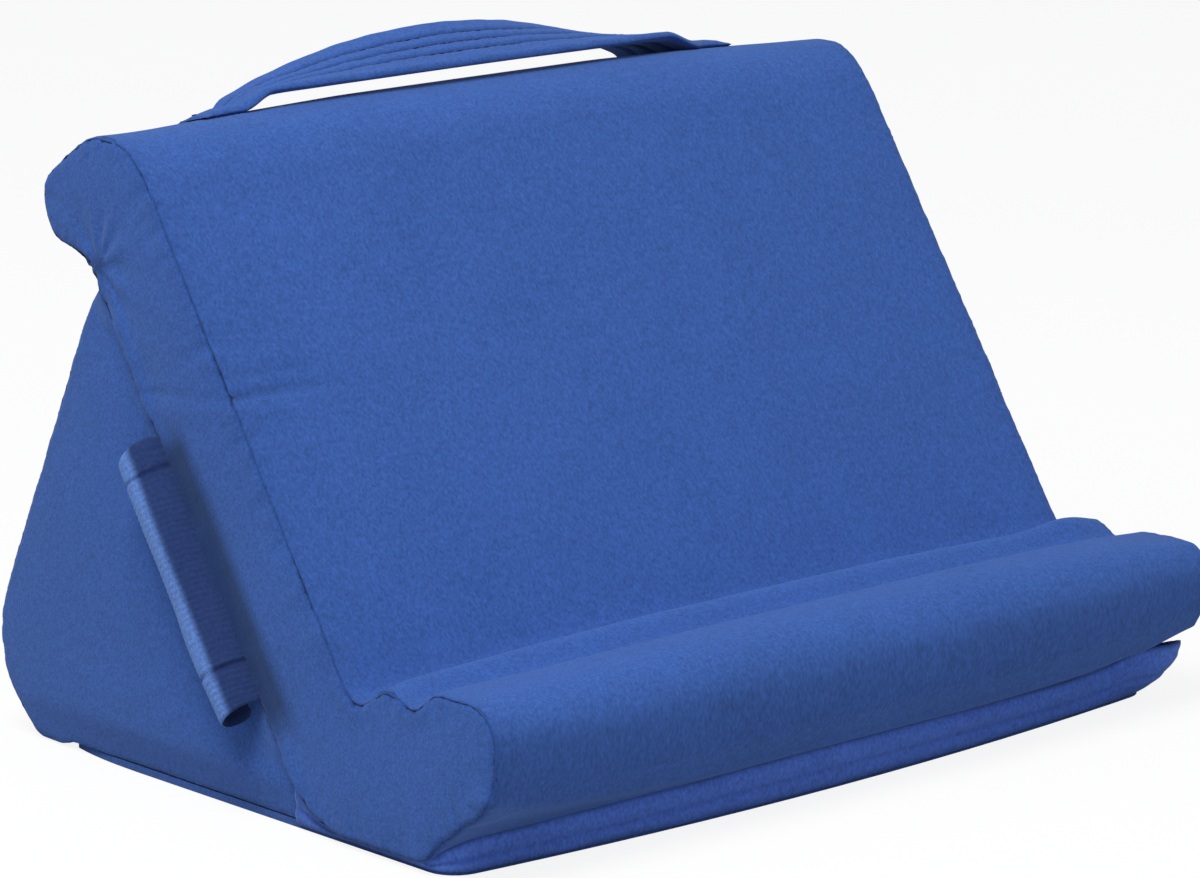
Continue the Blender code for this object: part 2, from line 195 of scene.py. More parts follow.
# Carrying handle
HANDLE_SPAN = 204 * MM
HANDLE_TAB = 13 * MM
HANDLE_WIDTH = 28 * MM
HANDLE_THICK = 2.6 * MM
HANDLE_SET_BACK = 27 * MM
HANDLE_RISE = 11 * MM
HANDLE_FORWARD = 6 * MM
HANDLE_TILT = math.radians(-16)
HANDLE_FULLNESS = 0.7
HANDLE_LIFT = 0.9 * MM
HANDLE_HUG = 76 * MM
HANDLE_GROOVES = (-0.21, 0, 0.21)
HANDLE_COLUMNS = 57
HANDLE_STEPS = 130
TAB_STEPS = (0, 1 * MM, 4 * MM, 8 * MM)
GROOVE_DEPTH = 0.9 * MM
GROOVE_HALF = 1.0 * MM
TOP_CROWN = 4.5 * MM

STITCH_GAP = 3.4 * MM
STITCH_LONG = 2.3 * MM
STITCH_THICK = 0.42 * MM

# Camera of the photograph
CAMERA_PLACE = Vector((-1024.2, -1122.9, 431.0)) * MM
CAMERA_DOWN = math.radians(12.88)
CAMERA_TURN = math.radians(-42.3)
CAMERA_LENS = 161.08

# Soft light all round, a large lamp above and a weak one in front
ROOM_LIGHT = 0.35
ROOM_TINT = (0.9, 0.95, 1, 1)
KEY_SIZE, KEY_POWER = 0.9, 29
FILL_SIZE, FILL_POWER = 1.1, 1.8

# Floor, a hair below the part so that the two faces don't meet
FLOOR_HALF = 6
FLOOR_BELOW = 0.1 * MM

# How fine the cloth's nap, its brushed streaks, its uneven lie and the thread's ply are
NAP_SCALE = 1250
BRUSHED_SCALE = 520
LAID_SCALE = 30
PLY_SCALE = 900

# Colours of the cloth and thread, as linear red, green and blue
PLUSH = (0.042, 0.113, 0.402)
# Painted light and shade: the sleeve has a lighter copy of the cloth's blue as painted sheen on its lit
# side, and a dark copy as painted shade on the other side.
SLEEVE_LIT_BLUE = (0.118, 0.235, 0.600)
SLEEVE_SHADED_BLUE = (0.005, 0.012, 0.075)
# Painted light: the strip's blue is written lighter than the cloth's to make up for the shade under the
# front roll.
STRIP_BLUE_PAINTED_LIGHTER = (0.102, 0.215, 0.732)
EDGE_BLUE = (0.040, 0.100, 0.340)
THREAD = (0.020, 0.050, 0.180)


# Meshes

def placed(name, data):
    """A new object in the scene that holds this mesh, lamp or camera."""
    obj = bpy.data.objects.new(name, data)
    bpy.context.scene.collection.objects.link(obj)
    return obj


def new_object(name, points, faces, edges=()):
    mesh = bpy.data.meshes.new(name)
    mesh.from_pydata([tuple(p) for p in points], edges, faces)
    return placed(name, mesh)


def object_of(name, shape):
    """A new object made of a shape being edited, which is then let go."""
    mesh = bpy.data.meshes.new(name)
    shape.to_mesh(mesh)
    shape.free()
    return placed(name, mesh)


def face_outwards(mesh):
    shape = bmesh.new()
    shape.from_mesh(mesh)
    bmesh.ops.recalc_face_normals(shape, faces=shape.faces)
    shape.to_mesh(mesh)
    shape.free()


def merged(node):
    shape = bmesh.new()
    shape.from_mesh(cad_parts[node].data)
    bmesh.ops.remove_doubles(shape, verts=shape.verts, dist=0.01 * MM)
    return shape


def points_of(mesh):
    flat = np.empty(len(mesh.vertices) * 3)
    mesh.vertices.foreach_get("co", flat)
    return flat.reshape(-1, 3)


def normals_of(mesh):
    flat = np.empty(len(mesh.vertices) * 3)
    mesh.vertices.foreach_get("normal", flat)
    return flat.reshape(-1, 3)


def move_points(mesh, points):
    mesh.vertices.foreach_set("co", np.asarray(points, float).ravel())
    mesh.update()


def baked(obj):
    """The object's mesh with its modifiers applied; the modifiers are removed."""
    shape = bpy.data.meshes.new_from_object(obj.evaluated_get(bpy.context.evaluated_depsgraph_get()))
    obj.modifiers.clear()
    old = obj.data
    obj.data = shape
    bpy.data.meshes.remove(old)
    return shape


def softened(obj, levels):
    soft = obj.modifiers.new("soft", "SUBSURF")
    soft.levels = soft.render_levels = levels
    return baked(obj)


def surface_of(obj):
    return BVHTree.FromPolygons(
        [v.co.copy() for v in obj.data.vertices], [p.vertices[:] for p in obj.data.polygons])


def finished(obj, finish, slot, *nodes):
    """Gives a piece its finish and hides the CAD solids it takes the place of."""
    obj.data.materials.clear()
    obj.data.materials.append(finish)
    obj.data.shade_smooth()
    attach(obj, "root")
    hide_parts(*nodes)
    return obj


# Outlines of the CAD solids

def cut_outline(shape, place, across):
    """The longest closed outline of a solid where a plane cuts it."""
    solid = shape.copy()
    everything = solid.verts[:] + solid.edges[:] + solid.faces[:]
    cut = bmesh.ops.bisect_plane(solid, geom=everything, plane_co=place, plane_no=across)["geom_cut"]
    edges = [e for e in cut if isinstance(e, bmesh.types.BMEdge)]
    left = set(edges)
    loops = []
    for first in edges:
        if first not in left:
            continue
        left.discard(first)
        start, here = first.verts
        loop = [start.co.copy()]
        while here != start:
            loop.append(here.co.copy())
            edge = next(e for e in here.link_edges if e in left)
            left.discard(edge)
            here = edge.other_vert(here)
        loops.append(np.array(loop))
    solid.free()
    outline = max(loops, key=round_length)
    return np.roll(outline, -int(np.argmax(outline @ (0, 1, 3))), axis=0)


def round_length(loop):
    return np.linalg.norm(loop - np.roll(loop, -1, axis=0), axis=1).sum()


def anticlockwise(outline):
    u, v = outline.T
    area = (u * np.roll(v, -1) - v * np.roll(u, -1)).sum()
    return outline if area > 0 else outline[::-1]


def fine_outline(outline, step=0.3 * MM):
    """A closed outline as points at an even small step."""
    closed = np.vstack([outline, outline[:1]])
    along = np.concatenate([[0], np.cumsum(np.linalg.norm(np.diff(closed, axis=0), axis=1))])
    at = np.arange(0, along[-1], step)
    return np.column_stack([np.interp(at, along, closed[:, k]) for k in range(2)])


def side_outline(shape, x, grow=0):
    """Side outline of a solid at one place along the width, grown by the cloth's thickness."""
    outline = fine_outline(anticlockwise(cut_outline(shape, (x, 0, 0), (1, 0, 0))[:, 1:]))
    if grow:
        along = np.roll(outline, -3, axis=0) - np.roll(outline, 3, axis=0)
        along /= np.linalg.norm(along, axis=1, keepdims=True)
        outline = outline + grow * np.column_stack([along[:, 1], -along[:, 0]])
    return outline


def stops_on(outline, places):
    return [int(np.argmin(np.hypot(*(outline - np.array(place)).T))) for place in places]


def counts_between(outline, places, gap):
    """How many net points go between each stop and the next, at an even gap."""
    stops = stops_on(outline, places)
    step = np.linalg.norm(outline[1] - outline[0])
    legs = [(stops[(k + 1) % len(stops)] - stops[k]) % len(outline) for k in range(len(stops))]
    return [max(2, round(leg * step / gap)) for leg in legs]


def spaced(outline, places, counts):
    """Points along an outline, one at each stop and a set number from there to the next."""
    stops = stops_on(outline, places)
    size = len(outline)
    parts = []
    for k, count in enumerate(counts):
        leg = (stops[(k + 1) % len(stops)] - stops[k]) % size
        at = stops[k] + leg * np.arange(count) / count
        low = np.floor(at).astype(int)
        share = (at - low)[:, None]
        parts.append(outline[low % size] * (1 - share) + outline[(low + 1) % size] * share)
    return np.concatenate(parts)


# Stuffed forms

def end_net(ring, gap):
    """Points inside an end outline on an even net, and the triangles that fill it with them."""
    low, high = ring.min(axis=0), ring.max(axis=0)
    inner = []
    for row, v in enumerate(np.arange(low[1], high[1], gap * 0.87)):
        for u in np.arange(low[0] + gap / 2 * (row % 2), high[0], gap):
            if np.hypot(ring[:, 0] - u, ring[:, 1] - v).min() > gap * 0.62:
                inner.append((u, v))
    flat = [Vector(p) for p in ring] + [Vector(p) for p in inner]
    places, _, faces, origin, _, _ = delaunay_2d_cdt(flat, [], [list(range(len(ring)))], 1, 1e-7)
    return inner, [[origin[i][0] for i in face] for face in faces]


def closed_form(name, rings, places):
    """A closed net through side rings, with its ends filled; the ends have finishes 1 and 2."""
    count = len(rings[0])
    points = [(x, y, z) for x, ring in zip(places, rings) for y, z in ring]
    faces = []
    for i in range(len(rings) - 1):
        for j in range(count):
            k = (j + 1) % count
            faces.append((i * count + j, i * count + k, (i + 1) * count + k, (i + 1) * count + j))
    kinds = [0] * len(faces)
    for kind, i in ((1, 0), (2, len(rings) - 1)):
        inner, triangles = end_net(rings[i], NET)
        first = len(points)
        points += [(places[i], u, v) for u, v in inner]
        for face in triangles:
            corners = [i * count + n if n < count else first + n - count for n in face]
            faces.append(corners[::-1] if kind == 1 else corners)
            kinds.append(kind)
    used = sorted({n for face in faces for n in face})
    number = {n: k for k, n in enumerate(used)}
    form = new_object(name, [points[n] for n in used], [[number[n] for n in face] for face in faces])
    form.data.polygons.foreach_set("material_index", kinds)
    for _ in range(3):
        form.data.materials.append(None)
    return form


def along_width(half, count):
    """Places along the width, closer together towards the ends."""
    share = np.linspace(-1, 1, count)
    return half * (1.25 * share - 0.25 * share ** 3)


def near(points, line, reach):
    """1 at points on a line, falling to 0 at its reach."""
    tree = tree_of(line)
    away = np.array([tree.find(p)[2] for p in points])
    return np.clip(1 - away / reach, 0, 1)


def tree_of(points):
    tree = KDTree(len(points))
    for i, p in enumerate(points):
        tree.insert(p, i)
    tree.balance()
    return tree


def stuffed(form, held, most):
    """Swells a form with its stuffing where it isn't held, and never further than most."""
    mesh = form.data
    start = points_of(mesh)
    group = form.vertex_groups.new(name="held")
    for i, weight in enumerate(held):
        group.add([i], float(weight), "REPLACE")
    cloth = form.modifiers.new("stuffing", "CLOTH")
    cloth.settings.quality = 5
    cloth.settings.mass = 0.3
    cloth.settings.tension_stiffness = 12
    cloth.settings.compression_stiffness = 12
    cloth.settings.shear_stiffness = 6
    cloth.settings.bending_stiffness = 0.5
    cloth.settings.use_pressure = True
    cloth.settings.uniform_pressure_force = PRESSURE
    cloth.settings.effector_weights.gravity = 0
    cloth.settings.vertex_group_mass = "held"
    cloth.collision_settings.use_collision = False
    cloth.point_cache.frame_start = 1
    cloth.point_cache.frame_end = SETTLING
    for moment in range(1, SETTLING + 1):
        bpy.context.scene.frame_set(moment)
    moved = points_of(baked(form)) - start
    bpy.context.scene.frame_set(1)
    moved = evened(mesh_edges(form.data), moved, EVENING) * (held < 1)[:, None]
    far = np.linalg.norm(moved, axis=1, keepdims=True)
    moved *= most * np.tanh(far / most) / np.maximum(far, 1e-9)
    move_points(form.data, start + moved)


def mesh_edges(mesh):
    ends = np.empty(len(mesh.edges) * 2, int)
    mesh.edges.foreach_get("vertices", ends)
    return ends.reshape(-1, 2)


def evened(edges, moved, rounds):
    """Averages each point's move with its neighbours', so that the cloth doesn't buckle."""
    a, b = edges.T
    count = np.bincount(edges.ravel(), minlength=len(moved))[:, None]
    for _ in range(rounds):
        total = np.zeros_like(moved)
        np.add.at(total, a, moved[b])
        np.add.at(total, b, moved[a])
        moved = 0.5 * moved + 0.5 * total / count
    return moved


def roll_seam(x):
    """Side place of the front roll's lower seam, which climbs towards the ends."""
    share = x / PAD_HALF
    climb = np.where(x < 0, ROLL_SEAM_CLIMB[-1], ROLL_SEAM_CLIMB[1]) * np.abs(share) ** ROLL_SEAM_POWER
    return ROLL_SEAM_DEPTH - 0.55 * climb, ROLL_SEAM_HEIGHT + climb


def face_place(up, out):
    return tuple(TROUGH + UP_FACE * up + OUT_OF_FACE * out)


def pad_stops(x):
    return (
        tuple(TROUGH),
        tuple(GROOVE),
        roll_seam(x),
        face_place(NOTCH_UP, -SLAB_THICK),
    )


def fitted_pad(points):
    """Lifts the front roll's lower edge over the strip, and settles the pad's ends."""
    lip = np.exp(-((points[:, 1] - LIP_DEPTH) / LIP_REACH) ** 2) * (points[:, 2] < LIP_TOP)
    points[:, 2] += LIP_LIFT * lip
    for place, reach, shift in PAD_SETTLING:
        points = eased(points, Vector(place) * MM, reach * MM, Vector(shift) * MM)
    points[:, 2] = np.maximum(points[:, 2], PAD_FLOOR)
    return points


def make_pad_form():
    cover = merged("face_pad_cover")
    places = along_width(PAD_HALF, PAD_SLICES)
    counts = counts_between(side_outline(cover, MIDDLE), pad_stops(0), NET)
    rings = []
    for x in places:
        slice_x = np.clip(x, -PAD_SLICED_TO, PAD_SLICED_TO) + BESIDE
        grow = END_FULLNESS[-1 if x < 0 else 1] * abs(x / PAD_HALF) ** 9
        rings.append(spaced(side_outline(cover, slice_x, grow), pad_stops(x), counts))
    cover.free()
    form = closed_form("face_pad", rings, places)
    starts = np.concatenate([[0], np.cumsum(counts)[:-1]])
    grid = np.arange(len(places) * len(rings[0])).reshape(len(places), -1)
    points = points_of(form.data)
    held = np.zeros(len(points))
    for start, reach in zip(starts, PAD_HOLDS):
        held = np.maximum(held, near(points, points[grid[:, start]], reach))
    rims = np.concatenate([grid[0], grid[-1]])
    up, out = face_measures(points)
    shaped = fitted_pad(points.copy())
    held[(out < HELD_BEHIND) & (up < NOTCH_UP)] = 1
    held[points[:, 2] < HELD_BELOW] = 1
    face = (out > -3 * MM) & (out < 3 * MM) & (up > 8 * MM) & (up < 160 * MM)
    held[face] = np.maximum(held[face], FACE_HOLD)
    normals = normals_of(form.data)
    slack = (1 - held)[:, None] * SLACK
    held[rims] = 1
    move_points(form.data, shaped - normals * slack)
    stuffed(form, held, PAD_SWELL)
    lay_flat(form)
    return form


def lay_flat(form):
    """Presses a form flat where it rests on the bottom panel."""
    points = points_of(form.data)
    points[:, 2] = np.maximum(points[:, 2], floor_under(points))
    move_points(form.data, points)


def floor_under(points):
    """Height that a form rests at: on the bottom panel, and behind it nearly on the floor."""
    return PAD_FLOOR - (PAD_FLOOR - HEEL_FLOOR) * np.clip((points[:, 1] - PANEL_REAR) / (3 * MM), 0, 1)


def face_measures(points):
    """How far points are up the slab's face and out of it."""
    y, z = points[:, 1] - TROUGH.x, points[:, 2] - TROUGH.y
    return y * UP_FACE.x + z * UP_FACE.y, y * OUT_OF_FACE.x + z * OUT_OF_FACE.y


def make_wedge_form():
    foam = merged("wedge_foam")
    places = along_width(WEDGE_HALF, WEDGE_SLICES)
    stops = (tuple(WEDGE_TIP), tuple(WEDGE_TOE))
    counts = counts_between(side_outline(foam, MIDDLE, COVER), stops, NET)
    rings = []
    for x in places:
        slice_x = np.clip(x, -WEDGE_SLICED_TO, WEDGE_SLICED_TO) + BESIDE
        rings.append(spaced(side_outline(foam, slice_x, COVER), stops, counts))
    foam.free()
    form = closed_form("wedge", rings, places)
    points = points_of(form.data)
    grid = np.arange(len(places) * len(rings[0])).reshape(len(places), -1)
    held = np.zeros(len(points))
    _, out = face_measures(points)
    held[out > -SLAB_THICK - 3.5 * MM] = 1
    held[points[:, 2] < 2.6 * MM] = 1
    normals = normals_of(form.data)
    from_toe = np.hypot(points[:, 1] - WEDGE_TOE.x, points[:, 2] - WEDGE_TOE.y)
    toe = np.exp(-(from_toe / WEDGE_TOE_ROUND) ** 2)
    points[:, 1] -= WEDGE_TOE_REACH * toe
    heel = np.clip((points[:, 1] - PANEL_REAR + 3 * MM) / (6 * MM), 0, 1)
    points[:, 2] -= HEEL_DROP * heel * np.clip((HEEL_TOP - points[:, 2]) / HEEL_FADE, 0, 1)
    points[:, 2] = np.maximum(points[:, 2], floor_under(points))
    move_points(form.data, points - normals * (1 - held)[:, None] * SLACK)
    held[grid[0]] = held[grid[-1]] = 1
    stuffed(form, held, WEDGE_SWELL)
    lay_flat(form)
    points = points_of(form.data)
    wide = np.abs(points[:, 0]) - WEDGE_FOOT_HALF
    share = np.clip(points[:, 2] / WEDGE_FOOT_RISE, 0, 1) ** 0.8
    points[:, 0] -= np.sign(points[:, 0]) * np.maximum(wide, 0) * (1 - share)
    move_points(form.data, points)
    return form


def eased(points, centre, reach, shift):
    """Moves the points round a centre, less and less towards its reach."""
    away = np.linalg.norm(points - np.array(centre), axis=1)
    return points + np.exp(-(away / reach) ** 2)[:, None] * np.array(shift)


# Seams, gathers and creases

def rim_of(mesh):
    """Points where the band meets an end panel, as one list for each end."""
    kinds = np.empty(len(mesh.polygons), int)
    mesh.polygons.foreach_get("material_index", kinds)
    sizes = np.empty(len(mesh.polygons), int)
    mesh.polygons.foreach_get("loop_total", sizes)
    corners = np.empty(len(mesh.loops), int)
    mesh.loops.foreach_get("vertex_index", corners)
    of_loop = np.repeat(kinds, sizes)
    on = [np.zeros(len(mesh.vertices), bool) for _ in range(3)]
    for kind in range(3):
        on[kind][corners[of_loop == kind]] = True
    return on, [on[0] & on[1], on[0] & on[2]]


def waves(place, length, seed):
    """Uneven waves of about this length, from -1 to 1."""
    return 2 * noise.noise(place / length + Vector((seed * 17.3, seed * 5.1, seed * 9.7)))


def with_seams(form, gathers=1, low=1):
    """Draws the cloth in along the end seams and gathers it there, less near the floor.

    Returns how dark each point is: painted shade down in each seam and a softer band of it alongside.
    """
    mesh = form.data
    points, normals = points_of(mesh), normals_of(mesh)
    on, rims = rim_of(mesh)
    dark = np.zeros(len(points))
    move = np.zeros(len(points))
    up, out = face_measures(points)
    calm = np.where((out < -30 * MM) & (up < NOTCH_UP), 0.25, 1) * gathers
    sewn = low + (1 - low) * np.clip((points[:, 2] - 5 * MM) / (6 * MM), 0, 1)
    for side, rim in zip((1, 2), rims):
        seam = points[rim]
        tree = tree_of(seam)
        close = np.abs(points[:, 0] - seam[:, 0].mean()) < SEAM_REACH
        for i in np.flatnonzero(close):
            place = Vector(points[i])
            spot, _, away = tree.find(place)
            if away > SEAM_REACH:
                continue
            cut = math.exp(-(away / SEAM_HALF) ** 2)
            drawn = math.exp(-away / SEAM_DRAW)
            panel = 1 if on[side][i] else 0.55
            pucker = waves(spot, GATHER_LENGTH, side) + 0.6 * waves(spot, FINE_GATHER_LENGTH, side + 3)
            swell = (1 - cut) * math.exp(-away / GATHER_REACH)
            pull = SEAM_DEPTH * (0.75 * cut + 0.25 * drawn) * (1 + 0.2 * waves(spot, 9 * MM, 8))
            move[i] -= sewn[i] * pull
            move[i] += calm[i] * GATHER_RISE * panel * pucker * swell
            # Painted shade: a dark line down in the seam's crevice and a softer band along it.
            line = 0.9 * math.exp(-(away / SEAM_LINE) ** 2) + 0.22 * drawn
            dark[i] = max(dark[i], sewn[i] * line)
    move_points(mesh, points + normals * move[:, None])
    return dark


def with_creases(form, dark):
    """Presses the slab's fold and the notch's wrinkles into the pad, and paints the sleeve's shadow and
    shade in the fold, wrinkles and roll seam.
    """
    mesh = form.data
    points, normals = points_of(mesh), normals_of(mesh)
    up, out = face_measures(points)
    left = np.clip((points[:, 0] - CREASE_FROM) / (CREASE_FULL - CREASE_FROM), 0, 1)
    fold = up - CREASE_UP - CREASE_CLIMB * np.minimum(out, 0) * (points[:, 0] < CREASE_TURNS)
    pressed = np.exp(-(fold / CREASE_HALF) ** 2)
    pressed += 0.45 * np.exp(-((fold - SECOND_CREASE) / (1.3 * CREASE_HALF)) ** 2)
    pressed *= left * (out > -40 * MM) * (1 - 0.7 * np.exp(-((points[:, 0] + PAD_HALF) / (2.5 * MM)) ** 2))
    swollen = np.exp(-((fold + 5 * MM) / (4 * MM)) ** 2) * left
    end = points[:, 0] < 8 * MM - PAD_HALF
    away_up, away_out = up - WRINKLES_UP, out - WRINKLES_OUT
    away = np.hypot(away_up, away_out)
    turn = np.arctan2(away_out, -away_up)
    rays = np.cos(9 * turn + 1.2 * np.sin(3 * turn))
    rays *= np.exp(-((away - WRINKLES_REACH) / WRINKLES_REACH) ** 2)
    move = GATHER_RISE * 0.9 * rays * end + 0.3 * MM * swollen - CREASE_DEPTH * pressed
    # Painted shadow: a band on the pad's end alongside the sleeve, darkened as the shadow the sleeve casts.
    beside = np.clip((out + 44 * MM) / (3 * MM), 0, 1) * np.clip((-22 * MM - out) / (6 * MM), 0, 1)
    beside *= np.clip((up - 2 * MM) / (10 * MM), 0, 1) * np.clip((97 * MM - up) / (8 * MM), 0, 1) * end
    pucker = np.exp(-(away / (3 * MM)) ** 2) * end
    low_y, low_z = roll_seam(points[:, 0])
    below = np.hypot(points[:, 1] - low_y, points[:, 2] - low_z)
    above = points[:, 2] - low_z
    hem = np.exp(-((above - 3 * MM) / (2 * MM)) ** 2) * (below < 9 * MM)
    move += 0.45 * MM * hem - 0.5 * MM * np.exp(-(below / (1.3 * MM)) ** 2)
    # Painted shade down in the front roll's lower seam.
    sewn = 0.75 * np.exp(-(below / (1.2 * MM)) ** 2)
    move_points(mesh, points + normals * move[:, None])
    # Darkness: the sleeve's painted shadow, and painted shade in the seams, the fold and round the notch's
    # wrinkles.
    return np.maximum(np.maximum(dark, 0.86 * beside), sewn) + 0.22 * pressed + 0.6 * pucker


def store(mesh, name, values):
    layer = mesh.attributes.get(name) or mesh.attributes.new(name, "FLOAT", "POINT")
    layer.data.foreach_set("value", np.asarray(values, np.float32))


def panel_of(form, kind, name, tuck=0):
    """One panel of a form as its own closed piece; its hidden wall is tucked in by this distance."""
    shape = bmesh.new()
    shape.from_mesh(form.data)
    other = [f for f in shape.faces if f.material_index != kind]
    bmesh.ops.delete(shape, geom=other, context="FACES")
    for face in shape.faces:
        face.material_index = 0
    rim = [e for e in shape.edges if e.is_boundary]
    if tuck:
        grown = bmesh.ops.extrude_edge_only(shape, edges=rim)["geom"]
        for v in (g for g in grown if isinstance(g, bmesh.types.BMVert)):
            v.co.x -= math.copysign(tuck, v.co.x)
        rim = [e for e in shape.edges if e.is_boundary]
    bmesh.ops.holes_fill(shape, edges=rim, sides=0)
    bmesh.ops.recalc_face_normals(shape, faces=shape.faces)
    return object_of(name, shape)


def remove(obj):
    mesh = obj.data
    bpy.data.objects.remove(obj)
    bpy.data.meshes.remove(mesh)


# Finishes

class Wire:
    """A shader socket that can be written in sums."""

    def __init__(self, paint, socket):
        self.paint = paint
        self.socket = socket

    def maths(self, operation, *others):
        return self.paint.node("ShaderNodeMath", {"operation": operation}, self, *others)

    def __add__(self, other):
        return self.maths("ADD", other)

    def __sub__(self, other):
        return self.maths("SUBTRACT", other)

    def __mul__(self, other):
        return self.maths("MULTIPLY", other)

    def __rsub__(self, other):
        return self.paint.node("ShaderNodeMath", {"operation": "SUBTRACT"}, other, self)

    __radd__ = __add__
    __rmul__ = __mul__

    def clamped(self):
        return self.paint.node("ShaderNodeMath", {"operation": "ADD", "use_clamp": True}, self, 0)


class Paint:
    """A material being built."""

    def __init__(self, name):
        self.material = bpy.data.materials.new(name)
        self.material.use_nodes = True
        self.tree = self.material.node_tree
        self.tree.nodes.clear()

    def node(self, kind, settings=None, *inputs, out=0, **named):
        made = self.tree.nodes.new(kind)
        for key, value in (settings or {}).items():
            setattr(made, key, value)
        for key, value in [*enumerate(inputs), *named.items()]:
            socket = made.inputs[key.replace("_", " ") if isinstance(key, str) else key]
            if isinstance(value, Wire):
                self.tree.links.new(value.socket, socket)
            elif value is not None:
                socket.default_value = value
        return Wire(self, made.outputs[out])

    def mixed(self, share, first, second):
        made = self.tree.nodes.new("ShaderNodeMix")
        made.data_type = "RGBA"
        for socket, value in ((made.inputs[0], share), (made.inputs[6], first), (made.inputs[7], second)):
            if isinstance(value, Wire):
                self.tree.links.new(value.socket, socket)
            elif isinstance(value, tuple):
                socket.default_value = (*value, 1)
            else:
                socket.default_value = value
        return Wire(self, made.outputs[2])

    def speckle(self, place, scale, detail=2.0, stretch=(1, 1, 1)):
        """Soft noise around 0.5, with its grain stretched along an axis."""
        drawn = self.node("ShaderNodeMapping", None, place, Scale=stretch)
        return self.node(
            "ShaderNodeTexNoise", None, Vector=drawn, Scale=scale, Detail=detail, Roughness=0.6)

    def done(self, surface):
        end = self.tree.nodes.new("ShaderNodeOutputMaterial")
        self.tree.links.new(surface.socket, end.inputs["Surface"])
        return self.material


def times(colour, share):
    return tuple(share * c for c in colour)


def plush(name, colour, streak=(1, 1, 1), shade_colour=None):
    """Brushed plush: mottled nap, soft sheen, and painted shade from the seam attribute: in seams, creases,
    under things and as the sleeve's painted shadow.
    """
    paint = Paint(name)
    place = paint.node("ShaderNodeTexCoord", out=3)
    nap = paint.speckle(place, NAP_SCALE, 2, streak)
    brushed = paint.speckle(place, BRUSHED_SCALE, 2, streak)
    laid = paint.speckle(place, LAID_SCALE, 2)
    seam = paint.node("ShaderNodeAttribute", {"attribute_name": "seam"}, out=2)
    tone = (nap - 0.5) * 1.3 + (brushed - 0.5) * 0.5 + (laid - 0.5) * 0.25 + 0.5
    cloth = paint.mixed(tone.clamped(), times(colour, 0.6), times(colour, 1.4))
    # Painted shade: the seam attribute mixes the cloth towards a shaded colour.
    cloth = paint.mixed(seam.clamped(), cloth, shade_colour or times(colour, 0.26))
    height = nap * 0.7 + brushed * 0.3
    bump = paint.node("ShaderNodeBump", None, Strength=0.5, Distance=0.4 * MM, Height=height)
    surface = paint.node(
        "ShaderNodeBsdfPrincipled", None, cloth, Roughness=0.92, Normal=bump,
        Sheen_Weight=0.26, Sheen_Roughness=0.5, Sheen_Tint=(0.45, 0.65, 1.0, 1), Specular_IOR_Level=0.15)
    return paint.done(surface)


def thread(name, colour):
    """Sewing thread, slightly uneven in its dye."""
    paint = Paint(name)
    place = paint.node("ShaderNodeTexCoord", out=3)
    ply = paint.speckle(place, PLY_SCALE, 1)
    dyed = paint.mixed(ply, times(colour, 0.7), times(colour, 1.3))
    return paint.done(paint.node("ShaderNodeBsdfPrincipled", None, dyed, Roughness=0.6))


# Camera, light and floor

def aim_camera():
    eye = bpy.data.cameras.new("camera")
    eye.lens = CAMERA_LENS
    eye.sensor_width = 36
    eye.clip_start = 0.01
    camera = placed("camera", eye)
    camera.location = CAMERA_PLACE
    camera.rotation_euler = (math.pi / 2 - CAMERA_DOWN, 0, CAMERA_TURN)
    bpy.context.scene.camera = camera


def add_lamp(name, place, aim, size, power):
    lamp = bpy.data.lights.new(name, "AREA")
    lamp.energy = power
    lamp.size = size
    obj = placed(name, lamp)
    obj.location = place
    obj.rotation_euler = (Vector(aim) - Vector(place)).to_track_quat("-Z", "Y").to_euler()


def light_studio():
    world = bpy.data.worlds.new("studio")
    bpy.context.scene.world = world
    world.use_nodes = True
    tree = world.node_tree
    tree.nodes.clear()
    seen = tree.nodes.new("ShaderNodeLightPath")
    soft = tree.nodes.new("ShaderNodeBackground")
    soft.inputs["Strength"].default_value = ROOM_LIGHT
    white = tree.nodes.new("ShaderNodeBackground")
    white.inputs["Strength"].default_value = 1
    mix = tree.nodes.new("ShaderNodeMixShader")
    end = tree.nodes.new("ShaderNodeOutputWorld")
    soft.inputs["Color"].default_value = ROOM_TINT
    white.inputs["Color"].default_value = (1, 1, 1, 1)
    tree.links.new(seen.outputs["Is Camera Ray"], mix.inputs[0])
    tree.links.new(soft.outputs[0], mix.inputs[1])
    tree.links.new(white.outputs[0], mix.inputs[2])
    tree.links.new(mix.outputs[0], end.inputs["Surface"])
    add_lamp("key", (-0.86, -0.28, 1.75), (0, 0, 0.08), KEY_SIZE, KEY_POWER)
    add_lamp("fill", (-0.45, -1.6, 0.4), (0, -0.08, 0.04), FILL_SIZE, FILL_POWER)


def lay_floor():
    turns = ((-1, -1), (1, -1), (1, 1), (-1, 1))
    corners = [(x * FLOOR_HALF, y * FLOOR_HALF, -FLOOR_BELOW) for x, y in turns]
    floor = new_object("floor", corners, [(0, 1, 2, 3)])
    paint = Paint("white floor")
    seen = paint.node("ShaderNodeLightPath")
    paper = paint.node("ShaderNodeBsdfDiffuse", None, (0.5, 0.5, 0.5, 1))
    seen_paper = paint.node("ShaderNodeBsdfDiffuse", None, (1, 1, 1, 1))
    glow = paint.node("ShaderNodeEmission", None, (1, 1, 1, 1), 1.0)
    lit = paint.node("ShaderNodeMixShader", None, 0.88, seen_paper, glow)
    floor.data.materials.append(paint.done(paint.node("ShaderNodeMixShader", None, seen, paper, lit)))


# Pieces

def make_face_pad():
    form = make_pad_form()
    softened(form, FINEST)
    dark = with_creases(form, with_seams(form))
    lay_flat(form)
    store(form.data, "seam", dark)
    return form


def make_wedge():
    form = make_wedge_form()
    softened(form, FINEST)
    dark = with_seams(form, 0.6, 0.3)
    lay_flat(form)
    store(form.data, "seam", dark)
    return form


